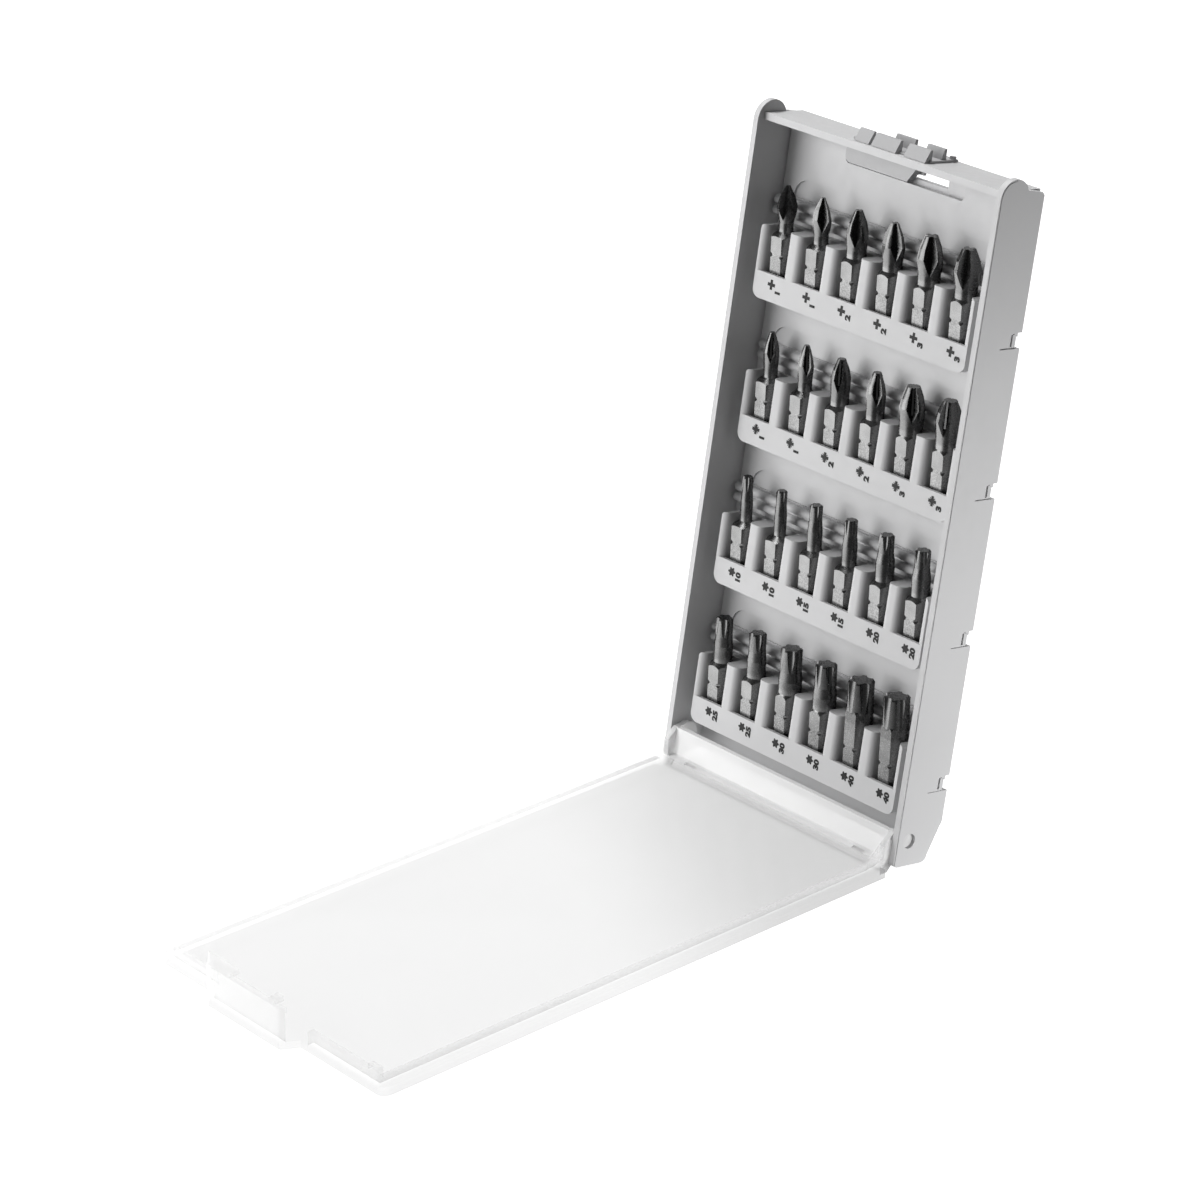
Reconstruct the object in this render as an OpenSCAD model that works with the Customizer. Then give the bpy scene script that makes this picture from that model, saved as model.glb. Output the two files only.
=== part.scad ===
// Upright bit cassette: grey case with four stepped rows of hex insert bits,
// leaning back on its stop, and a clear lid hinged at the bottom that lies
// flat on the table as the foot. A sliding latch crosses the top.
// X runs along a row, Y from the lid's latch end to the back of the case, Z up.
// The origin is the centre of the lid's flat face on the table.

/* [Stance] */
// lean of the open case behind the vertical, degrees
lean = 10; // [4:0.5:15]

/* [Case] */
// gap between a row block and the side wall
side_gap = 3.8; // [2.5:0.1:7]
// thickness of a side wall
wall = 1.6; // [1.2:0.1:2]
// front edge of the side walls ahead of the hinge axis
front_edge = 4.5; // [4:0.1:4.6]
// depth of the rear bars behind the back panels
rear_depth = 1.8; // [1.3:0.1:4.5]
// height of the case's shoulder above the top row's ledge
head_room = 39.4; // [36:0.2:50]
// rise of the rounded ears over the shoulder
ear_rise = 3.1; // [2:0.1:5]
// length of the side walls below the hinge axis
foot = 6.5; // [6.2:0.05:6.8]
// thickness of the top wall
top_wall = 1.8; // [1.2:0.1:2.4]
// front edge of the top wall ahead of the hinge axis
top_front = 2.4; // [1.5:0.1:2.6]

/* [Rows] */
// distance from one row to the next
row_pitch = 38; // [36:0.1:39]
// ledge of the lowest row above the hinge axis
first_ledge = 11.8; // [11:0.1:14]
// distance from one bit to the next
bit_pitch = 12.5; // [11.5:0.1:12.7]
// forward tilt of the bits against the case, degrees
bit_tilt = 7.2; // [4:0.1:9]
// setting of each row behind the lowest one, top row first
row_set = [0.2, 2.2, 1.0, 0]; // [0:0.1:2.4]
// end of a row block beyond its last bit's axis
block_end = 5.75; // [5.2:0.05:7.5]
// height of the label strip below a ledge
strip = 6.9; // [5:0.1:7.5]
// height of the fingers above a ledge
finger = 11.8; // [9:0.1:12.5]
// thickness of the lip in front of a bit
lip = 1.1; // [0.9:0.1:1.4]
// depth a bit sinks below its ledge
sunk = 2; // [1.5:0.1:3]
// front face of the back panels behind the hinge axis
panel_front = 7.4; // [7.2:0.1:8]
// thickness of the back panels
panel = 1.7; // [1.5:0.1:2.4]

/* [Bits] */
// distance across the flats of a hex shank
across_flats = 6.35; // [6.35:0.01:6.35]
// overall length of a bit
bit_length = 25; // [25:0.1:26]
// centre of the retaining notches above the shank's rear end
notch_height = 7.2; // [6:0.1:9.5]

/* [Lid] */
// room between the shut case's shoulder and the lid's end wall
lid_room = 2.1; // [1.2:0.1:6]
// thickness of the lid plate
lid_plate = 2; // [1.4:0.1:2]
// height of the outer flange
lid_flange = 2.3; // [2.1:0.05:2.4]
// height of the inner rim
lid_rim = 4.2; // [3:0.1:4.3]
// height of the end wall
end_wall = 5.5; // [4.5:0.1:5.6]
// height of the latch tab
tab_height = 11; // [9:0.1:11.1]

/* [Hinge] */
// radius of the hinge holes in the side walls
hinge_bore = 1.95; // [1.6:0.05:2.2]
// radial clearance of the hinge pins
pin_clearance = 0.07; // [0.03:0.01:0.1]

/* [Latch] */
// half length of the latch slot
slot_half = 20.4; // [18:0.1:22]
// lower edge of the latch slot under the shoulder
slot_low = 8.2; // [7:0.1:9]
// height of the latch slot
slot_height = 5.3; // [4:0.1:5.4]
// gap between sliding faces
slide_gap = 0.1; // [0.05:0.01:0.2]

/* [Hidden] */
$fn = 64;
eps = 0.01;
rows = 4;
cols = 6;
block_half = (cols - 1) / 2 * bit_pitch + block_end;
inner = block_half + side_gap;
case_width = 2 * (inner + wall);
flat = across_flats / 2;
corner_r = across_flats / sqrt(3);
seat_gap = 0.12;
axis_seat = 2.5;
top_ledge = first_ledge + (rows - 1) * row_pitch;
shoulder = top_ledge + head_room;
ceiling = shoulder - top_wall;
panel_back = panel_front + panel;
back_edge = panel_back + rear_depth;
lid_length = shoulder + lid_room;
lid_back = 8.2;
heel_r = 2;
heel_y = 5.2;
hinge_height = (foot - heel_r) * cos(lean) + heel_y * sin(lean) + heel_r;
hook_rise = 3.1;
hook_front = -1.2;
finger_r = 1.8;
slider_end = 4.6;
travel = 8;
slot_stop = slider_end + travel + 0.6;
hinge_y = (lid_length + lid_back) / 2;
groove = corner_r + seat_gap;
colour_case = [0.76, 0.76, 0.77];
colour_lid = [0.93, 0.95, 0.96, 0.35];
colour_bit = [0.3, 0.3, 0.31];

// all parts, in drawing order
// part to draw, or "all"

// ---- frames -------------------------------------------------------------

// ledge height of a row, counted from the top
function ledge(row) = first_ledge + (rows - 1 - row) * row_pitch;

// bit axis behind the hinge axis, at the ledge
function seat(row) = axis_seat + row_set[row];

// front face of a row block
function block_front(row) = seat(row) - flat - seat_gap - lip;

// centre of a column
function column(col) = (col - (cols - 1) / 2) * bit_pitch;

// the case's own frame: X across, Y to its back, Z along it
module in_case() {
    translate([0, hinge_y, hinge_height])
        rotate([-lean, 0, 0])
            children();
}

// the frame of one bit: Z along its axis, 0 at its rear end
module in_seat(row, col) {
    translate([column(col), seat(row), ledge(row)])
        rotate([bit_tilt, 0, 0])
            translate([0, 0, -sunk])
                children();
}

// a box from its two corners
module span(a, b) {
    translate(a)
        cube(b - a);
}

// a flat shape drawn in the case's depth and height, run along X
module along_x(x0, x1) {
    translate([x0, 0, 0])
        rotate([90, 0, 90])
            linear_extrude(x1 - x0)
                children();
}

// a flat shape drawn in X and height, run along Y
module along_y(y0, y1) {
    translate([0, y1, 0])
        rotate([90, 0, 0])
            linear_extrude(y1 - y0)
                children();
}

// a rectangle with four round corners
module round_rect(x0, z0, x1, z1, r) {
    translate([x0 + r, z0])
        square([x1 - x0 - 2 * r, z1 - z0]);
    translate([x0, z0 + r])
        square([x1 - x0, z1 - z0 - 2 * r]);
    for (x = [x0 + r, x1 - r], z = [z0 + r, z1 - r])
        translate([x, z])
            circle(r);
}

// ---- case frame: side walls, top wall and rear bars ------------------------

// side wall outline: rounded ear at the top front, chamfered heel
module wall_outline() {
    ear_r = 5;
    ear_top = shoulder + ear_rise;
    polygon([
        [-front_edge, -foot + 1.5], [-front_edge + 1.5, -foot], [heel_y, -foot],
        [heel_y + 1.5, -foot + 0.72], [back_edge - 0.7, 2.3], [back_edge, 4.2],
        [back_edge, shoulder - 1.2], [back_edge - 0.8, shoulder - 0.4], [4.2, shoulder + 0.3],
        [1.9, ear_top - 0.5], [1.2, ear_top], [-front_edge + ear_r, ear_top],
        [-front_edge, ear_top - ear_r]]);
    translate([-front_edge + ear_r, ear_top - ear_r])
        circle(ear_r);
    translate([-front_edge + 1.5, -foot + 1.5])
        circle(1.5);
    translate([heel_y, -foot + heel_r])
        circle(heel_r);
    translate([back_edge - 2.4, 4.2])
        circle(2.4);
}

// one side wall with its hinge hole, snap windows and edge groove
module side_wall(side) {
    x0 = side > 0 ? inner : -case_width / 2;
    face = side * case_width / 2;
    difference() {
        along_x(x0, x0 + wall)
            wall_outline();
        translate([x0 - 1, 0, 0])
            rotate([0, 90, 0])
                cylinder(h = wall + 2, r = hinge_bore);
        for (row = [0:rows - 1]) {
            z = ledge(row);
            // notch in the back edge
            span([x0 - 1, back_edge - 1.4, z + 0.3], [x0 + wall + 1, back_edge + 1, z + 4.3]);
            // slit for the tray's blade
            span([x0 - 1, panel_front + 0.3, z + 0.7], [x0 + wall + 1, panel_front + 0.9, z + 4.1]);
            // scooped recess ending in a ledge
            difference() {
                translate([face - side * 0.05, back_edge - 3.4, z + 0.3])
                    rotate([0, 90, 0])
                        translate([0, 0, -0.35])
                            cylinder(h = 0.7, r = 3.6);
                span([face - 2, -5, z - 6], [face + 2, 15, z + 0.3]);
            }
        }
        // fine groove just behind the front edge
        translate([face, -front_edge + 0.35, 0])
            cylinder(h = 2 * (shoulder + ear_rise - 5), r = 0.22, center = true);
        translate([face, -front_edge + 5, shoulder + ear_rise - 5])
            rotate([0, 90, 0])
                difference() {
                    rotate_extrude()
                        translate([4.65, 0])
                            circle(0.22, $fn = 24);
                    span([0, -6, -1], [6, 6, 1]);
                    span([-6, 0, -1], [6, 6, 1]);
                }
    }
}

module case_frame() {
    color(colour_case)
        in_case() {
            side_wall(1);
            side_wall(-1);
            difference() {
                span([-inner - eps, -top_front, ceiling], [inner + eps, back_edge, shoulder]);
                // gap in the rear edge for the slider's web
                span([-12.4, panel_back, ceiling - 1], [slot_stop + 0.2, back_edge + 1, shoulder + 1]);
            }
            // stop behind the slot's right end
            span([slot_stop, panel_back + 0.1, shoulder - 9], [slot_half + 1, back_edge, ceiling + eps]);
            // raked plate between the heels
            along_x(-inner - eps, inner + eps)
                polygon([[heel_y + 0.2, -foot + 1.9], [back_edge - 0.7, 2.6],
                    [back_edge - 0.6, ledge(rows - 1) - strip + 0.5], [panel_back + 0.1, ledge(rows - 1) - strip + 0.5],
                    [panel_back + 0.1, 3], [heel_y - 0.6, -foot + 2.5]]);
            // rear bars behind the trays
            span([-inner - eps, panel_back + 0.1, shoulder - 12.6], [inner + eps, back_edge, shoulder - 6.9]);
            for (row = [0:rows - 2])
                span([-inner - eps, panel_back + 0.1, ledge(row) - strip - 4], [inner + eps, back_edge, ledge(row) - strip + 4]);
            span([-inner - eps, panel_back + 0.1, ledge(rows - 1) - strip + 0.4],
                [inner + eps, back_edge, ledge(rows - 1) - strip + 6]);
        }
}

// ---- row trays ------------------------------------------------------------

// front view of a row block: strip with round lower corners, round finger tops
module block_front_view(row) {
    z = ledge(row);
    low = 2.4;
    polygon([[-block_half, z - strip + low], [-block_half + low, z - strip],
        [block_half - low, z - strip], [block_half, z - strip + low],
        [block_half, z + finger - 1], [block_half - 1, z + finger],
        [-block_half + 1, z + finger], [-block_half, z + finger - 1]]);
    for (s = [-1, 1]) {
        translate([s * (block_half - low), z - strip + low])
            circle(low);
        translate([s * (block_half - 1), z + finger - 1])
            circle(1);
    }
}

// room for one bit: its seat below the ledge, open to the front above it
module bit_room(row, col) {
    in_seat(row, col)
        span([-groove, -flat - seat_gap, -0.05], [groove, flat + seat_gap, 34]);
    translate([column(col), 0, 0])
        span([-groove, -20, ledge(row)], [groove, seat(row) - 1, ledge(row) + finger + 1]);
    // rounded front edges of the fingers beside this bit
    for (s = [-1, 1])
        translate([column(col) + s * groove, block_front(row), ledge(row)])
            difference() {
                span([-finger_r, -1, 0], [finger_r, finger_r, finger + 1]);
                translate([s * finger_r, finger_r, -1])
                    cylinder(h = finger + 3, r = finger_r);
            }
}

module row_tray(row) {
    z = ledge(row);
    low = z - strip;
    high = row == 0 ? ceiling - 0.1 : ledge(row - 1) - strip - 0.1;
    bead_y = seat(row) + 2.8;
    front = block_front(row);
    color(colour_case)
        in_case()
            difference() {
                union() {
                    span([-inner + 0.4, panel_front, low], [inner - 0.4, panel_back, high]);
                    along_y(front, panel_front + eps)
                        block_front_view(row);
                    // two beads behind the necks, on one web
                    for (h = [14.5, 17.2])
                        translate([0, bead_y, z + h])
                            rotate([0, 90, 0])
                                cylinder(h = 2 * (inner - 0.9), r = 1.15, center = true);
                    span([-inner + 1.4, min(bead_y, panel_front), z + 13.6], [inner - 1.4, panel_back, z + 18]);
                    // snap blades in the side walls
                    for (s = [-1, 1])
                        translate([s * inner, 0, 0])
                            span([-0.6, panel_front + 0.36, z + 0.8], [0.6, panel_front + 0.84, z + 4]);
                }
                for (col = [0:cols - 1])
                    bit_room(row, col);
                // recessed window behind the tips, its upper corners round
                difference() {
                    along_y(panel_front - 1, panel_front + 0.6)
                        round_rect(-inner + 4.6, z + 10, inner - 4.6, z + 23.4, 4.4);
                    span([-inner, panel_front - 2, z + 9], [inner, panel_front + 2, z + 18.5]);
                }
                // hollow under the seats, open to the back
                span([-block_half + 1.4, front + 1.4, low + 1.2], [-0.7, panel_back + 1, z - sunk - 1.2]);
                span([0.7, front + 1.4, low + 1.2], [block_half - 1.4, panel_back + 1, z - sunk - 1.2]);
                // hollow behind the fingers
                for (col = [0:cols - 2])
                    translate([column(col) + bit_pitch / 2, 0, 0])
                        span([-1.4, front + 2.2, z - 1.2], [1.4, panel_back + 1, z + finger - 1.2]);
                if (row == 0)
                    along_y(panel_front - 1, panel_back + 1)
                        round_rect(-slot_half, shoulder - slot_low, slot_half, shoulder - slot_low + slot_height, 1.2);
            }
}

// ---- latch slider -----------------------------------------------------------

// one hook on the slider: sloping front, steep back
module hook(x0, x1, y0, depth) {
    along_x(x0, x1)
        polygon([[y0, 0], [y0 + depth, 0], [y0 + depth, hook_rise], [y0 + depth - 0.7, hook_rise]]);
}

module latch_slider() {
    low = shoulder - slot_low;
    high = low + slot_height - 0.3;
    plate_low = shoulder + slide_gap;
    plate_high = plate_low + 0.5;
    web_front = panel_back + slide_gap;
    web_back = web_front + 0.9;
    color(colour_case)
        in_case() {
            // bar seen in the slot: round left end, slanted right end
            along_y(panel_front - 0.5, panel_back) {
                round_rect(-slot_half + 0.2, low + 0.3, 0, high, 1.8);
                polygon([[-4, low + 0.3], [slider_end - 3.2, low + 0.3], [slider_end, high], [-4, high]]);
            }
            span([-12, panel_back - 1, low + 2.5], [slider_end - 1.2, web_front + eps, high - 0.6]);
            // web behind the panel, up through the top wall
            span([-12, web_front, low + 2.5], [slider_end, web_back, plate_high]);
            // plate on top of the case
            span([-12, hook_front + 1.4, plate_low], [14.2, web_back, plate_high]);
            translate([0, 0, plate_low]) {
                hook(-10.4, -5.6, hook_front, 2.4);
                hook(-4.7, 3.6, hook_front, 2.4);
                hook(6.5, 13.7, hook_front, 2.4);
                hook(-3, 3.6, 4.6, 1.9);
                hook(7.6, 13.4, 4.6, 1.9);
                span([13, 8.2, 0], [14.2, 9.3, 1.3]);
            }
        }
}

// ---- clear lid ---------------------------------------------------------------

// lid profile at the hinge: plate, raked wall and its top edge
module hinge_wall_profile() {
    polygon([[-lid_back - 1, 0], [-lid_back - 1, lid_plate - 0.3], [-5.2, lid_plate + 1.6],
        [-3.7, hinge_height + 3], [-2.4, hinge_height + 3], [-3.4, 3.4], [-6, 0]]);
}

// one hinge lug: an arm from the plate up around the pin
module lug_profile() {
    polygon([[-lid_back - 3, 0], [-lid_back + 2.4, 0], [-1.2, hinge_height - 3.05],
        [1.2, hinge_height + 3], [-3.4, hinge_height + 3], [-lid_back - 3, lid_rim]]);
    translate([0, hinge_height])
        circle(3.25);
}

module lid() {
    end = -lid_length;
    back = -lid_back;
    rim_x = inner - 0.3;
    pin = hinge_bore - pin_clearance;
    tab_out = end - 4.3;
    color(colour_lid)
        translate([0, hinge_y, 0]) {
            difference() {
                union() {
                    // plate and outer flange
                    linear_extrude(lid_flange)
                        difference() {
                            round_rect(-case_width / 2, end, case_width / 2, back + 3, 2.6);
                            translate([-case_width, back])
                                square([2 * case_width, 6]);
                        }
                    // inner rim
                    linear_extrude(lid_rim)
                        translate([-rim_x, end + 0.4])
                            square([2 * rim_x, back - end - 0.4]);
                    // end wall with raised corners
                    span([-rim_x, end, 0], [rim_x, end + 1.7, end_wall]);
                    for (s = [-1, 1])
                        translate([s * (rim_x - 1.7), end, 0])
                            span([-1.7, 0, 0], [1.7, 1.7, 6.9]);
                    // latch tab, splayed towards the lid
                    linear_extrude(tab_height)
                        polygon([[-23.4, end + 1.7], [-23.4, end + 1], [-17.6, tab_out],
                            [9.8, tab_out], [12.8, end + 1], [12.8, end + 1.7]]);
                }
                // inside of the tray
                span([-rim_x + 1.3, end + 1.7, lid_plate], [rim_x - 1.3, back + 1, 20]);
                // inside of the tab, open towards the tray and to the right
                translate([0, 0, lid_plate])
                    linear_extrude(tab_height - lid_plate - 1.3)
                        polygon([[-21.4, end + 3], [-21.4, end + 0.3], [-16.8, tab_out + 1.3],
                            [15, tab_out + 1.3], [15, end + 3]]);
                // room for the hooks in the tab's top, leaving one tooth
                span([-10.8, tab_out + 1.7, lid_plate + 1], [4, end + 3, tab_height + 1]);
                span([6.1, tab_out + 1.7, lid_plate + 1], [15, end + 3, tab_height + 1]);
                span([-24, end + 0.2, end_wall], [24, end + 3, tab_height + 1]);
            }
            // raked hinge wall with two slots
            difference() {
                along_x(-inner + 1.8, inner - 1.8)
                    hinge_wall_profile();
                for (x = [-31, 31])
                    span([x - 2, -9, 2.6], [x + 2, 0, 3.2]);
            }
            // hinge lugs and pins
            for (s = [-1, 1]) {
                translate([s * (rim_x - 0.8), 0, 0])
                    along_x(-0.8, 0.8)
                        lug_profile();
                translate([s * (inner + 0.2), 0, hinge_height])
                    rotate([0, 90, 0])
                        cylinder(h = 1.1, r = pin, center = true);
            }
        }
}

// ---- bits ----------------------------------------------------------------------

// hex shank with a coned shoulder, a bevelled rear end and corner notches
module shank(height, neck_r) {
    difference() {
        intersection() {
            cylinder(h = height, r = corner_r, $fn = 6);
            rotate_extrude()
                polygon([[0, 0], [corner_r - 0.5, 0], [corner_r + 0.2, 0.5], [corner_r + 0.2, height - 1.5],
                    [neck_r, height], [0, height]]);
        }
        translate([0, 0, notch_height])
            rotate_extrude()
                translate([corner_r + 0.55, 0])
                    circle(0.85, $fn = 24);
    }
}

// one flute of a cross point: a V groove that runs out on the neck, with a thin rib on a ribbed point
module flute(core, turn, reach, neck_r, rib) {
    rake = 5.8;
    size = 4.2;
    rise = atan((neck_r - core - turn * sin(rake)) / (reach - turn * cos(rake)));
    translate([core, 0, bit_length])
        rotate([0, -rake, 0])
            difference() {
                union() {
                    translate([size, 0, -turn])
                        cylinder(h = turn + 1, r = size, $fn = 4);
                    translate([0, 0, -turn])
                        rotate([0, rake - rise, 0])
                            translate([size, 0, -(reach - turn) - 1])
                                cylinder(h = reach - turn + 1, r = size, $fn = 4);
                }
                if (rib)
                    span([-1, -0.24, -turn - 1], [0.62, 0.24, 2]);
            }
}

// cross point: coned blades between four flutes
module cross_bit(hex_top, neck_r, bulb_r, tip_r, taper, reach, roll, rib) {
    color(colour_bit) {
        shank(hex_top, neck_r);
        difference() {
            rotate_extrude()
                polygon([[0, hex_top - 0.5], [neck_r, hex_top - 0.5], [neck_r, bit_length - taper - 4.2],
                    [bulb_r - 0.06, bit_length - taper - 0.7], [bulb_r, bit_length - taper],
                    [bulb_r - 0.3 * (bulb_r - tip_r), bit_length - 0.55 * taper],
                    [tip_r, bit_length], [0, bit_length]]);
            for (a = [0:90:270])
                rotate([0, 0, a + roll])
                    flute(tip_r * (rib ? 0.6 : 0.48), taper + 0.5, reach, neck_r, rib);
        }
    }
}

// six-lobe point: round lobes between six flutes that run out on the neck
module star_bit(hex_top, neck_r, lobe_r, reach, roll) {
    root = lobe_r * 0.7;
    cutter_r = lobe_r * 0.42;
    neck_top = max(hex_top, bit_length - reach - 0.6);
    color(colour_bit)
        difference() {
            union() {
                shank(hex_top, neck_r);
                rotate_extrude()
                    polygon([[0, hex_top - 1.5], [neck_r - 0.4, hex_top - 1.5], [neck_r, hex_top - 0.4],
                        [neck_r, neck_top], [lobe_r, neck_top + 2.6],
                        [lobe_r, bit_length - 0.35], [lobe_r - 0.3, bit_length], [0, bit_length]]);
            }
            for (a = [0:60:300])
                rotate([0, 0, a + roll])
                    translate([root, 0, bit_length])
                        rotate([0, -atan((neck_r - root) / reach), 0])
                            translate([cutter_r, 0, -reach - 2])
                                cylinder(h = reach + 3, r = cutter_r);
        }
}

// a cross bit in its seat: size 1, 2 or 3
module seated_cross(row, col, size, roll) {
    in_case()
        in_seat(row, col)
            cross_bit([13.2, 13, 12.8][size - 1], [1.9, 2.55, 2.85][size - 1], [2.65, 2.95, 3.55][size - 1],
                [0.55, 1, 1.7][size - 1], [5.3, 5.8, 5.5][size - 1], [8.3, 9, 9.8][size - 1], roll, false);
}

// a ribbed cross bit in its seat: size 1, 2 or 3
module seated_ribbed(row, col, size, roll) {
    in_case()
        in_seat(row, col)
            cross_bit([13.2, 13, 12.8][size - 1], [1.85, 2.4, 3.05][size - 1], [2.15, 2.62, 3.45][size - 1],
                [0.65, 1, 1.75][size - 1], [5.2, 5.1, 5.3][size - 1], [7.6, 8.3, 8.6][size - 1], roll, true);
}

// a star bit in its seat: index 0 to 5 for the six sizes
module seated_star(row, col, index, roll) {
    in_case()
        in_seat(row, col)
            star_bit([13, 13, 13, 13, 13, 17.4][index], [1.6, 1.95, 2.4, 2.5, 3.05, 3.375][index],
                [1.4, 1.68, 1.98, 2.25, 2.8, 3.375][index], [6, 6.2, 6.6, 6.9, 8, 8.8][index], roll);
}

module cross_bit_1a() { seated_cross(0, 0, 1, 20); }
module cross_bit_1b() { seated_cross(0, 1, 1, 50); }
module cross_bit_2a() { seated_cross(0, 2, 2, 35); }
module cross_bit_2b() { seated_cross(0, 3, 2, 60); }
module cross_bit_3a() { seated_cross(0, 4, 3, 45); }
module cross_bit_3b() { seated_cross(0, 5, 3, 25); }
module ribbed_bit_1a() { seated_ribbed(1, 0, 1, 40); }
module ribbed_bit_1b() { seated_ribbed(1, 1, 1, 55); }
module ribbed_bit_2a() { seated_ribbed(1, 2, 2, 30); }
module ribbed_bit_2b() { seated_ribbed(1, 3, 2, 50); }
module ribbed_bit_3a() { seated_ribbed(1, 4, 3, 45); }
module ribbed_bit_3b() { seated_ribbed(1, 5, 3, 20); }
module star_bit_10a() { seated_star(2, 0, 0, 10); }
module star_bit_10b() { seated_star(2, 1, 0, 25); }
module star_bit_15a() { seated_star(2, 2, 1, 18); }
module star_bit_15b() { seated_star(2, 3, 1, 40); }
module star_bit_20a() { seated_star(2, 4, 2, 5); }
module star_bit_20b() { seated_star(2, 5, 2, 30); }
module star_bit_25a() { seated_star(3, 0, 3, 14); }
module star_bit_25b() { seated_star(3, 1, 3, 20); }
module star_bit_30a() { seated_star(3, 2, 4, 12); }
module star_bit_30b() { seated_star(3, 3, 4, 35); }
module star_bit_40a() { seated_star(3, 4, 5, 30); }
module star_bit_40b() { seated_star(3, 5, 5, 30); }

module row_tray_1() { row_tray(0); }
module row_tray_2() { row_tray(1); }
module row_tray_3() { row_tray(2); }
module row_tray_4() { row_tray(3); }

// ---- drawing -------------------------------------------------------------------

case_frame();
row_tray_1();
row_tray_2();
row_tray_3();
row_tray_4();
latch_slider();
lid();
cross_bit_1a();
cross_bit_1b();
cross_bit_2a();
cross_bit_2b();
cross_bit_3a();
cross_bit_3b();
ribbed_bit_1a();
ribbed_bit_1b();
ribbed_bit_2a();
ribbed_bit_2b();
ribbed_bit_3a();
ribbed_bit_3b();
star_bit_10a();
star_bit_10b();
star_bit_15a();
star_bit_15b();
star_bit_20a();
star_bit_20b();
star_bit_25a();
star_bit_25b();
star_bit_30a();
star_bit_30b();
star_bit_40a();
star_bit_40b();
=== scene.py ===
import math

import bmesh
import bpy
from mathutils import Matrix, Vector


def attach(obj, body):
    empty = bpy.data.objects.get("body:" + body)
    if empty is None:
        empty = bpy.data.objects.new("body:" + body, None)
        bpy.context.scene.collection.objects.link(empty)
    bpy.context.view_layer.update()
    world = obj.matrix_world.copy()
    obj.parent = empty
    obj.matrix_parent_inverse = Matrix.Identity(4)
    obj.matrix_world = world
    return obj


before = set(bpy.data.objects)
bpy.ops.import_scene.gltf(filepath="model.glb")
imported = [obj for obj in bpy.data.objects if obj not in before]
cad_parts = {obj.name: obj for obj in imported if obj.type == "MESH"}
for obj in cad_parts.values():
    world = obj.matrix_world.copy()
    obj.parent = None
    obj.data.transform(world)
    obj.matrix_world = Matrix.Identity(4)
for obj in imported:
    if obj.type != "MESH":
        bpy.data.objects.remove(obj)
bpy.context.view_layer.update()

# ---- viewpoint ---------------------------------------------------------------
# A long lens looks down on the open cassette from its right front corner,
# the way a small tool is shown on a studio table.
eye = Vector((0.69786, -0.59210, 0.49833))
turn, drop, tilt = math.radians(48.604), math.radians(24.312), math.radians(-0.082)
ahead = Vector((-math.sin(turn) * math.cos(drop), math.cos(turn) * math.cos(drop), -math.sin(drop)))
side = Vector((math.cos(turn), math.sin(turn), 0))
above = side.cross(ahead)
rolled_side = side * math.cos(tilt) + above * math.sin(tilt)
rolled_above = above * math.cos(tilt) - side * math.sin(tilt)
facing = Matrix((rolled_side, rolled_above, -ahead)).transposed().to_4x4()
lens = bpy.data.cameras.new("camera")
lens.lens = 128.3
lens.sensor_width = 36
lens.clip_start, lens.clip_end = 0.05, 20
camera = bpy.data.objects.new("camera", lens)
bpy.context.collection.objects.link(camera)
camera.matrix_world = Matrix.Translation(eye) @ facing
bpy.context.scene.camera = camera
bpy.context.scene.view_settings.view_transform = "Standard"

# ---- studio light ------------------------------------------------------------
# A soft box stands low at the left front, a second one hangs high at the left, and
# a small low one lights the right side wall. The room is dark.
soft_boxes = (
    ("left_front_box", (-0.66, -0.92, 0.42), (0, 0.09, 0.09), 0.9, 0.9, 13.8),
    ("overhead_box", (-0.45, 0.35, 1.25), (0, 0.05, 0.08), 0.7, 0.7, 15),
    ("right_wall_box", (0.24, 0.17, 0.01), (0.04, 0.1, 0.03), 0.16, 0.08, 0.75),
)
room = bpy.data.worlds.new("room")
bpy.context.scene.world = room
room.use_nodes = True
room.node_tree.nodes["Background"].inputs["Color"].default_value = (1, 1, 1, 1)
room.node_tree.nodes["Background"].inputs["Strength"].default_value = 0.1
for name, place, towards, width, height, watts in soft_boxes:
    lamp = bpy.data.lights.new(name, "AREA")
    lamp.shape = "RECTANGLE"
    lamp.size, lamp.size_y = width, height
    lamp.energy = watts
    holder = bpy.data.objects.new(name, lamp)
    bpy.context.collection.objects.link(holder)
    holder.location = place
    holder.rotation_mode = "QUATERNION"
    holder.rotation_quaternion = (Vector(towards) - Vector(place)).to_track_quat("-Z", "Y")
    holder.visible_camera = False

# ---- table ---------------------------------------------------------------------
# A white table sheet that glows evenly white to the camera, so that it shows no hard shadow. To every other
# ray
#  it glows as painted bounce light, strong on the left and faint on the right, and stronger still as painted
#  reflection in mirror-like reflections.
table_reach = 6
table_drop = 0.00005


def set_sockets(node, values):
    for socket, value in values.items():
        node.inputs[socket].default_value = value


def add_node(tree, kind, values=None, **settings):
    made = tree.nodes.new(kind)
    for key, value in settings.items():
        setattr(made, key, value)
    set_sockets(made, values or {})
    return made


def join(tree, *pairs):
    for start, end in pairs:
        tree.links.new(start, end)


def new_material(name):
    """A material, its node tree and its Principled shader."""
    material = bpy.data.materials.new(name)
    material.use_nodes = True
    return material, material.node_tree, material.node_tree.nodes["Principled BSDF"]


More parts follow.
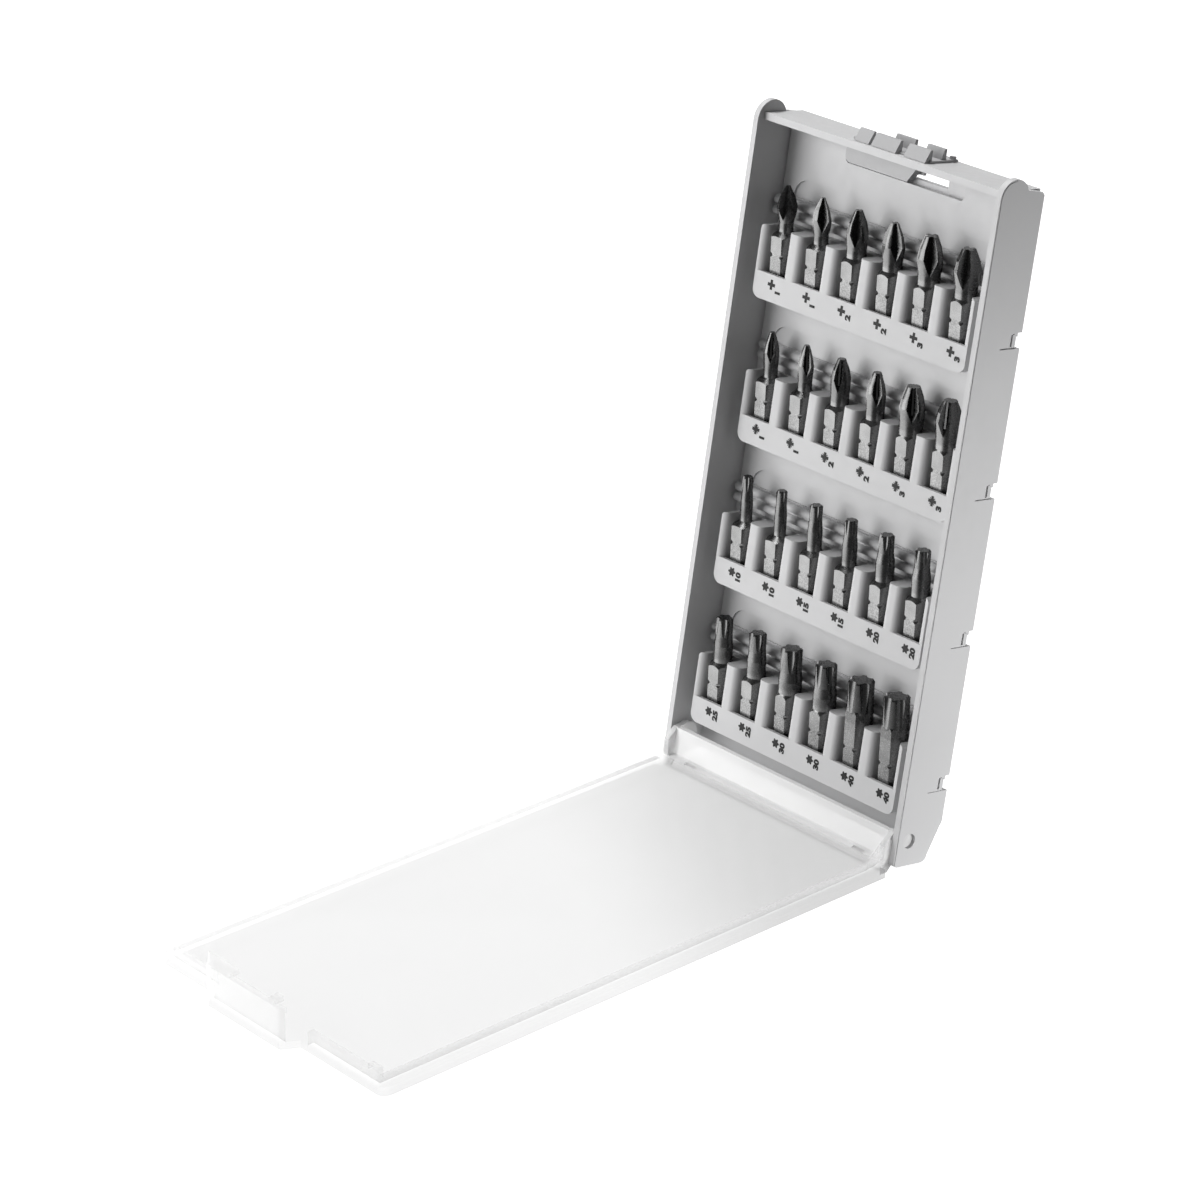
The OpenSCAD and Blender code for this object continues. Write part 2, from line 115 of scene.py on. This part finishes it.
table_material, table_tree, table_shader = new_material("table_sheet")
set_sockets(table_shader, {"Base Color": (0.4, 0.4, 0.4, 1), "Roughness": 0.9, "Specular IOR Level": 0.0,
                           "Emission Color": (1, 1, 1, 1), "Emission Strength": 0.9})
table_place = add_node(table_tree, "ShaderNodeTexCoord")
table_axes = add_node(table_tree, "ShaderNodeSeparateXYZ")
# Painted bounce light: the glow that other rays see falls from the left to the right of the table, and is
# raised for glossy rays as painted reflection.
table_fall = add_node(table_tree, "ShaderNodeMapRange", interpolation_type="SMOOTHSTEP",
                      values={"From Min": -0.08, "From Max": 0.1, "To Min": 1.35, "To Max": 0.06})
table_painted_bounce = add_node(table_tree, "ShaderNodeEmission")
table_ray = add_node(table_tree, "ShaderNodeLightPath")
table_mix = add_node(table_tree, "ShaderNodeMixShader")
table_sheen = add_node(table_tree, "ShaderNodeMath", {1: 1.7, 2: 1.0}, operation="MULTIPLY_ADD")
table_sent = add_node(table_tree, "ShaderNodeMath", operation="MULTIPLY")
join(table_tree,
     (table_place.outputs["Object"], table_axes.inputs[0]),
     (table_axes.outputs["X"], table_fall.inputs["Value"]),
     (table_ray.outputs["Is Glossy Ray"], table_sheen.inputs[0]),
     (table_sheen.outputs[0], table_sent.inputs[0]),
     (table_fall.outputs["Result"], table_sent.inputs[1]),
     (table_sent.outputs[0], table_painted_bounce.inputs["Strength"]),
     (table_ray.outputs["Is Camera Ray"], table_mix.inputs["Fac"]),
     (table_painted_bounce.outputs["Emission"], table_mix.inputs[1]),
     (table_shader.outputs["BSDF"], table_mix.inputs[2]),
     (table_mix.outputs["Shader"], table_tree.nodes["Material Output"].inputs["Surface"]))
table_corners = [(-table_reach, -table_reach, 0), (table_reach, -table_reach, 0),
                 (table_reach, table_reach, 0), (-table_reach, table_reach, 0)]
table_mesh = bpy.data.meshes.new("table_sheet")
table_mesh.from_pydata(table_corners, [], [(0, 1, 2, 3)])
table_mesh.materials.append(table_material)
table_sheet = bpy.data.objects.new("table_sheet", table_mesh)
table_sheet.location.z = -table_drop
bpy.context.collection.objects.link(table_sheet)

# ---- case frame ------------------------------------------------------------------
# Two side walls, the top wall and the rear bars are one moulding of light grey
# impact plastic with a fine spark-eroded grain. Its edges are barely rounded.


def moulded_grain_group():
    """Moulded grain: a tint, a roughness and a bump height that change over the part."""
    tree = bpy.data.node_groups.new("moulded_grain", "ShaderNodeTree")
    inputs = (("Tint", "NodeSocketColor", (0.6, 0.6, 0.6, 1)), ("Shade", "NodeSocketFloat", 0.03),
              ("Gloss", "NodeSocketFloat", 0.5), ("Grain Size", "NodeSocketFloat", 2600.0))
    outputs = (("Colour", "NodeSocketColor"), ("Roughness", "NodeSocketFloat"), ("Height", "NodeSocketFloat"))
    for label, kind, value in inputs:
        tree.interface.new_socket(label, in_out="INPUT", socket_type=kind).default_value = value
    for label, kind in outputs:
        tree.interface.new_socket(label, in_out="OUTPUT", socket_type=kind)
    given = add_node(tree, "NodeGroupInput")
    out = add_node(tree, "NodeGroupOutput")
    place = add_node(tree, "ShaderNodeTexCoord")
    spark = add_node(tree, "ShaderNodeTexVoronoi")
    flow = add_node(tree, "ShaderNodeTexNoise", {"Scale": 34, "Detail": 5})
    rub = add_node(tree, "ShaderNodeTexNoise", {"Scale": 420, "Detail": 3})
    low = add_node(tree, "ShaderNodeMath", {0: 1}, operation="SUBTRACT")
    high = add_node(tree, "ShaderNodeMath", {0: 1}, operation="ADD")
    swing = add_node(tree, "ShaderNodeMapRange", {"From Min": 0.3, "From Max": 0.7})
    toned = add_node(tree, "ShaderNodeVectorMath", operation="SCALE")
    rough = add_node(tree, "ShaderNodeMapRange",
                     {"From Min": 0.3, "From Max": 0.7, "To Min": -0.09, "To Max": 0.09})
    total = add_node(tree, "ShaderNodeMath", operation="ADD", use_clamp=True)
    join(tree,
         (given.outputs["Grain Size"], spark.inputs["Scale"]),
         (place.outputs["Object"], spark.inputs["Vector"]),
         (place.outputs["Object"], flow.inputs["Vector"]),
         (place.outputs["Object"], rub.inputs["Vector"]),
         (given.outputs["Shade"], low.inputs[1]),
         (given.outputs["Shade"], high.inputs[1]),
         (flow.outputs["Fac"], swing.inputs["Value"]),
         (low.outputs[0], swing.inputs["To Min"]),
         (high.outputs[0], swing.inputs["To Max"]),
         (given.outputs["Tint"], toned.inputs[0]),
         (swing.outputs["Result"], toned.inputs["Scale"]),
         (toned.outputs["Vector"], out.inputs["Colour"]),
         (rub.outputs["Fac"], rough.inputs["Value"]),
         (given.outputs["Gloss"], total.inputs[0]),
         (rough.outputs["Result"], total.inputs[1]),
         (total.outputs[0], out.inputs["Roughness"]),
         (spark.outputs["Distance"], out.inputs["Height"]))
    return tree


moulded_grain = moulded_grain_group()


def moulded_plastic(name, tint, roughness):
    """Grey plastic out of a spark-eroded mould."""
    material, tree, shader = new_material(name)
    grain = add_node(tree, "ShaderNodeGroup", node_tree=moulded_grain,
                     values={"Tint": (*tint, 1), "Gloss": roughness, "Shade": 0.02})
    relief = add_node(tree, "ShaderNodeBump", {"Strength": 0.15, "Distance": 0.00005})
    set_sockets(shader, {"Specular IOR Level": 0.35})
    join(tree,
         (grain.outputs["Height"], relief.inputs["Height"]),
         (grain.outputs["Colour"], shader.inputs["Base Color"]),
         (grain.outputs["Roughness"], shader.inputs["Roughness"]),
         (relief.outputs["Normal"], shader.inputs["Normal"]))
    return material


def finish_part(name, material, edge=0.0):
    """The part's material, and a small bevel on its sharp edges where edge is given."""
    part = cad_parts[name]
    for held in part.material_slots:
        held.material = material
    if edge:
        round_over = part.modifiers.new("edge", "BEVEL")
        round_over.width = edge
        round_over.segments = 2
        round_over.limit_method = "ANGLE"
        round_over.angle_limit = math.radians(40)


finish_part("case_frame", moulded_plastic("case_plastic", (0.57, 0.57, 0.575), 0.5))

# ---- row trays -------------------------------------------------------------------
# Four stepped trays of the same plastic snap into slits in the side walls. Each
# is one moulding with finger walls between the bits and two beads behind them.
tray_plastic = moulded_plastic("tray_plastic", (0.55, 0.55, 0.555), 0.52)
for number in range(1, 5):
    finish_part(f"row_tray_{number}", tray_plastic)

# ---- size marks -------------------------------------------------------------------
# A black mark under each bit is pad printed on the strip: a small sign for the
# shape of the point, and beside it the size number, both read from the right.
hinge_line = Vector((0, 0.08775, 0.0073346))
case_lean = math.radians(10)
in_case = Matrix.Translation(hinge_line) @ Matrix.Rotation(-case_lean, 4, "X")
bit_pitch = 0.0125
ledges = (0.1258, 0.0878, 0.0498, 0.0118)
strip_fronts = (-0.001695, 0.000305, -0.000895, -0.001895)
row_signs = ("cross", "ribbed", "star", "star")
row_sizes = (("1", "1", "2", "2", "3", "3"), ("1", "1", "2", "2", "3", "3"),
             ("10", "10", "15", "15", "20", "20"), ("25", "25", "30", "30", "40", "40"))
ink_film = 0.00003
sign_right, sign_below = 0.0006, 0.0025
sign_reach = 0.0013
cross_arm = 0.00042
star_notch = 0.00045
rib_start, rib_end, rib_half = 0.0007, 0.0012, 0.0001
number_right, number_below = 0.0040, 0.0044
digit_height = 0.0019
digit_stretch = 1.2

printed_ink, ink_tree, ink_shader = new_material("printed_ink")
set_sockets(ink_shader, {"Specular IOR Level": 0.15})
ink_place = add_node(ink_tree, "ShaderNodeTexCoord")
ink_speckle = add_node(ink_tree, "ShaderNodeTexNoise", {"Scale": 5200})
ink_tone = add_node(ink_tree, "ShaderNodeMapRange", {"To Min": 0.003, "To Max": 0.012})
ink_rough = add_node(ink_tree, "ShaderNodeMapRange", {"To Min": 0.35, "To Max": 0.6})
ink_relief = add_node(ink_tree, "ShaderNodeBump", {"Strength": 0.2, "Distance": 0.00001})
join(ink_tree,
     (ink_place.outputs["Object"], ink_speckle.inputs["Vector"]),
     (ink_speckle.outputs["Fac"], ink_tone.inputs["Value"]),
     (ink_speckle.outputs["Fac"], ink_rough.inputs["Value"]),
     (ink_speckle.outputs["Fac"], ink_relief.inputs["Height"]),
     (ink_tone.outputs["Result"], ink_shader.inputs["Base Color"]),
     (ink_rough.outputs["Result"], ink_shader.inputs["Roughness"]),
     (ink_relief.outputs["Normal"], ink_shader.inputs["Normal"]))


def print_shape(mesh, outline, place):
    """One closed outline as a thin film of ink; outline points run across and up the mark."""
    under = [mesh.verts.new(place @ Vector((x, 0, z))) for x, z in outline]
    over = [mesh.verts.new(place @ Vector((x, -ink_film, z))) for x, z in outline]
    mesh.faces.new(over)
    for a in range(len(outline)):
        b = (a + 1) % len(outline)
        mesh.faces.new((over[b], over[a], under[a], under[b]))


def cross_outline(reach, half):
    return [(reach, -half), (reach, half), (half, half), (half, reach), (-half, reach), (-half, half),
            (-reach, half), (-reach, -half), (-half, -half), (-half, -reach), (half, -reach), (half, -half)]


def star_outline(reach, depth):
    points = []
    for step in range(72):
        angle = step * math.tau / 72
        radius = reach - depth * (0.5 - 0.5 * math.cos(6 * angle))
        points.append((radius * math.cos(angle), radius * math.sin(angle)))
    return points


def bar_outline(start, end, half):
    return [(start, -half), (end, -half), (end, half), (start, half)]


def print_sign(mesh, sign, place):
    """A star for six-lobe bits, or a cross, with four fine ticks between its arms if it is ribbed."""
    if sign == "star":
        print_shape(mesh, star_outline(sign_reach, star_notch), place)
        return
    print_shape(mesh, cross_outline(sign_reach, cross_arm), place)
    if sign == "ribbed":
        for quarter in range(4):
            turned = Matrix.Rotation(math.radians(45 + 90 * quarter), 4, "Y")
            print_shape(mesh, bar_outline(rib_start, rib_end, rib_half), place @ turned)


def print_number(mesh, text, place):
    """The digits of a size number, bold, their foot at the right and their start at the bottom."""
    letters = bpy.data.curves.new("digits", "FONT")
    letters.body = text
    letters.offset = 0.07
    letters.resolution_u = 4
    setter = bpy.data.objects.new("digits", letters)
    bpy.context.collection.objects.link(setter)
    bpy.context.view_layer.update()
    flat = bpy.data.meshes.new_from_object(setter.evaluated_get(bpy.context.evaluated_depsgraph_get()))
    left = min(v.co.x for v in flat.vertices)
    foot = min(v.co.y for v in flat.vertices)
    scale = digit_height / (max(v.co.y for v in flat.vertices) - foot)
    made = []
    for vertex in flat.vertices:
        along, up = (vertex.co.x - left) * scale * digit_stretch, (vertex.co.y - foot) * scale
        made.append(mesh.verts.new(place @ Vector((-up, -ink_film, along))))
    for face in flat.polygons:
        mesh.faces.new([made[k] for k in face.vertices])
    bpy.data.objects.remove(setter)
    bpy.data.curves.remove(letters)
    bpy.data.meshes.remove(flat)


for row, sizes in enumerate(row_sizes):
    marks = bmesh.new()
    for col, size in enumerate(sizes):
        bit_x = (col - 2.5) * bit_pitch
        sign_place = (bit_x + sign_right, strip_fronts[row], ledges[row] - sign_below)
        print_sign(marks, row_signs[row], Matrix.Translation(sign_place))
        number_place = (bit_x + number_right, strip_fronts[row], ledges[row] - number_below)
        print_number(marks, size, Matrix.Translation(number_place))
    bmesh.ops.recalc_face_normals(marks, faces=marks.faces)
    marks_mesh = bpy.data.meshes.new(f"size_marks_{row + 1}")
    marks.to_mesh(marks_mesh)
    marks.free()
    marks_mesh.materials.append(printed_ink)
    size_marks = bpy.data.objects.new(f"size_marks_{row + 1}", marks_mesh)
    size_marks.matrix_world = in_case
    bpy.context.collection.objects.link(size_marks)
    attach(size_marks, "case")

# ---- latch slider ------------------------------------------------------------------
# A loose slide across the top, in a grey darkened as painted shade for its bar, which shows recessed in
#  the slot of the top tray. Its hooks stand up behind the top wall's front edge.
# Painted shade: the tint 0.42, darker than the case's 0.57, stands in for the shadow on the recessed bar.
finish_part("latch_slider", moulded_plastic("latch_plastic", (0.42, 0.42, 0.425), 0.5))

# ---- clear lid ---------------------------------------------------------------------
# A shallow tray of clear polystyrene that turns on two pins of its own and lies flat on the table when it is
# open.
#  Its grey film is more opaque on the hinge wall; painted shade darkens it towards the case, and a painted
#  highlight whitens its rims and hinge wall.
lid_clear, lid_tree, lid_shader = new_material("lid_clear")
set_sockets(lid_shader, {"Specular IOR Level": 0.6})
lid_place = add_node(lid_tree, "ShaderNodeTexCoord")
lid_axes = add_node(lid_tree, "ShaderNodeSeparateXYZ")
lid_flow = add_node(lid_tree, "ShaderNodeTexNoise", {"Scale": 38, "Detail": 3})
lid_tint = add_node(lid_tree, "ShaderNodeMapRange", {"To Min": 0.2, "To Max": 0.26})
lid_rough = add_node(lid_tree, "ShaderNodeMapRange", {"To Min": 0.12, "To Max": 0.22})
lid_relief = add_node(lid_tree, "ShaderNodeBump", {"Strength": 0.1, "Distance": 0.0003})
lid_edge = add_node(lid_tree, "ShaderNodeLayerWeight", {"Blend": 0.35})
lid_cover = add_node(lid_tree, "ShaderNodeMapRange", {"To Min": 0.1, "To Max": 0.3})
lid_corner = add_node(lid_tree, "ShaderNodeVectorMath", {1: (0.45, 0.9, 0)}, operation="DOT_PRODUCT")
# Painted shade: the film grows more opaque, and so darker, towards the case, for the case's shadow and
# reflection on the lid.
lid_case_shade = add_node(lid_tree, "ShaderNodeMapRange", interpolation_type="SMOOTHSTEP",
                     values={"From Min": 0.01, "From Max": 0.075, "To Max": 0.11})
lid_wall = add_node(lid_tree, "ShaderNodeMapRange", interpolation_type="SMOOTHSTEP",
                    values={"From Min": 0.08, "From Max": 0.0835, "To Max": 0.4})
# Painted highlight: above 2 to 3 mm the base colour is raised, which whitens the rims and the hinge wall.
lid_rim_highlight = add_node(lid_tree, "ShaderNodeMapRange", interpolation_type="SMOOTHSTEP",
                   values={"From Min": 0.0021, "From Max": 0.003, "To Max": 0.65})
lid_total = add_node(lid_tree, "ShaderNodeMath", operation="ADD")
lid_sum = add_node(lid_tree, "ShaderNodeMath", operation="ADD")
# The lid's base colour: its own faint tint plus the painted highlight on rims and hinge wall.
lid_tint_and_highlight = add_node(lid_tree, "ShaderNodeMath", operation="ADD")
join(lid_tree,
     (lid_place.outputs["Object"], lid_flow.inputs["Vector"]),
     (lid_place.outputs["Object"], lid_axes.inputs[0]),
     (lid_place.outputs["Object"], lid_corner.inputs[0]),
     (lid_corner.outputs["Value"], lid_case_shade.inputs["Value"]),
     (lid_axes.outputs["Z"], lid_rim_highlight.inputs["Value"]),
     (lid_axes.outputs["Y"], lid_wall.inputs["Value"]),
     (lid_edge.outputs["Facing"], lid_cover.inputs["Value"]),
     (lid_cover.outputs["Result"], lid_total.inputs[0]),
     (lid_case_shade.outputs["Result"], lid_total.inputs[1]),
     (lid_total.outputs[0], lid_sum.inputs[0]),
     (lid_wall.outputs["Result"], lid_sum.inputs[1]),
     (lid_sum.outputs[0], lid_shader.inputs["Alpha"]),
     (lid_flow.outputs["Fac"], lid_tint.inputs["Value"]),
     (lid_tint.outputs["Result"], lid_tint_and_highlight.inputs[0]),
     (lid_rim_highlight.outputs["Result"], lid_tint_and_highlight.inputs[1]),
     (lid_tint_and_highlight.outputs[0], lid_shader.inputs["Base Color"]),
     (lid_flow.outputs["Fac"], lid_rough.inputs["Value"]),
     (lid_rough.outputs["Result"], lid_shader.inputs["Roughness"]),
     (lid_flow.outputs["Fac"], lid_relief.inputs["Height"]),
     (lid_relief.outputs["Normal"], lid_shader.inputs["Normal"]))
finish_part("lid", lid_clear)

# ---- bits --------------------------------------------------------------------------
# Hex insert bits of hardened tool steel, phosphated dark and oiled. The flats are
# drawn bright, their lower half is etched, and the turned point is a little darker.
row_pitch = 0.038
edge_break = 0.0001
etch_end, etch_fade = 0.0050, 0.0054
point_start, point_full = 0.0112, 0.0122

bit_steel, steel_tree, steel_shader = new_material("bit_steel")
set_sockets(steel_shader, {"Metallic": 1.0})
steel_place = add_node(steel_tree, "ShaderNodeTexCoord")
case_up = add_node(steel_tree, "ShaderNodeVectorMath", operation="DOT_PRODUCT",
                   values={1: (0, math.sin(case_lean), math.cos(case_lean))})
first_height = hinge_line.y * math.sin(case_lean) + hinge_line.z * math.cos(case_lean) + ledges[3]
over_ledge = add_node(steel_tree, "ShaderNodeMath", {1: first_height}, operation="SUBTRACT")
on_bit = add_node(steel_tree, "ShaderNodeMath", {1: row_pitch, 2: 0}, operation="WRAP")
join(steel_tree,
     (steel_place.outputs["Object"], case_up.inputs[0]),
     (case_up.outputs["Value"], over_ledge.inputs[0]),
     (over_ledge.outputs[0], on_bit.inputs[0]))


def steel_noise(scale, detail, low, high):
    noise = add_node(steel_tree, "ShaderNodeTexNoise", {"Scale": scale, "Detail": detail})
    spread = add_node(steel_tree, "ShaderNodeMapRange",
                      {"From Min": 0.35, "From Max": 0.65, "To Min": low, "To Max": high})
    join(steel_tree,
         (steel_place.outputs["Object"], noise.inputs["Vector"]),
         (noise.outputs["Fac"], spread.inputs["Value"]))
    return spread.outputs["Result"]


def steel_zone(start, end, below, beyond):
    """A value that changes once up each bit, between two heights over its ledge."""
    zone = add_node(steel_tree, "ShaderNodeMapRange", interpolation_type="SMOOTHSTEP",
                    values={"From Min": start, "From Max": end, "To Min": below, "To Max": beyond})
    join(steel_tree, (on_bit.outputs[0], zone.inputs["Value"]))
    return zone.outputs["Result"]


def steel_product(a, b):
    made = add_node(steel_tree, "ShaderNodeMath", operation="MULTIPLY")
    join(steel_tree, (a, made.inputs[0]), (b, made.inputs[1]))
    return made.outputs[0]


etched = steel_zone(etch_end, etch_fade, 1.0, 0.0)
point_shade = steel_zone(point_start, point_full, 1.0, 0.72)
etch_grain = steel_noise(2600, 2, 0.72, 1.2)
drawn_tone = steel_noise(260, 4, 0.125, 0.155)
drawn_rough = steel_noise(900, 3, 0.23, 0.31)
etch_blend = add_node(steel_tree, "ShaderNodeMix", {"A": 1.0}, data_type="FLOAT")
steel_tone = steel_product(steel_product(drawn_tone, point_shade), etch_blend.outputs["Result"])
steel_relief = add_node(steel_tree, "ShaderNodeBump", {"Strength": 0.35, "Distance": 0.00003})
join(steel_tree,
     (etched, etch_blend.inputs["Factor"]),
     (etch_grain, etch_blend.inputs["B"]),
     (etch_blend.outputs["Result"], steel_relief.inputs["Height"]),
     (steel_tone, steel_shader.inputs["Base Color"]),
     (drawn_rough, steel_shader.inputs["Roughness"]),
     (steel_relief.outputs["Normal"], steel_shader.inputs["Normal"]))
for name in sorted(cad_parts):
    if "_bit_" in name:
        finish_part(name, bit_steel, edge_break)
